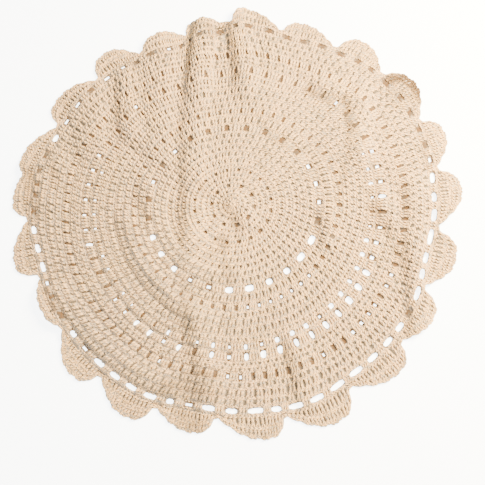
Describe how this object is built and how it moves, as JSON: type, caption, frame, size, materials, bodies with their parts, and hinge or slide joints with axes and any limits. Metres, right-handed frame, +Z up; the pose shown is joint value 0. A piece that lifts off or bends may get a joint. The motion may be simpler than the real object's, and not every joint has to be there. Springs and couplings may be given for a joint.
{
  "type": "lace doily",
  "caption": "Round crocheted cotton doily lying flat, with open eyelet rounds, a scalloped shell edge and soft gathers on one side.",
  "frame": {"origin": "middle of the doily's box, on the surface that it rests on", "axes": "+Z up off the table, -Y towards the viewer, +X to the viewer's right; the gathers lie towards +Y and -X"},
  "size_m": [0.3863, 0.3847, 0.0095],
  "materials": {
    "cotton": "matt unbleached crochet cotton, pale cream, worked in firm twisted yarn"
  },
  "bodies": {
    "root": {"doily": "cotton"}
  },
  "joints": []
}
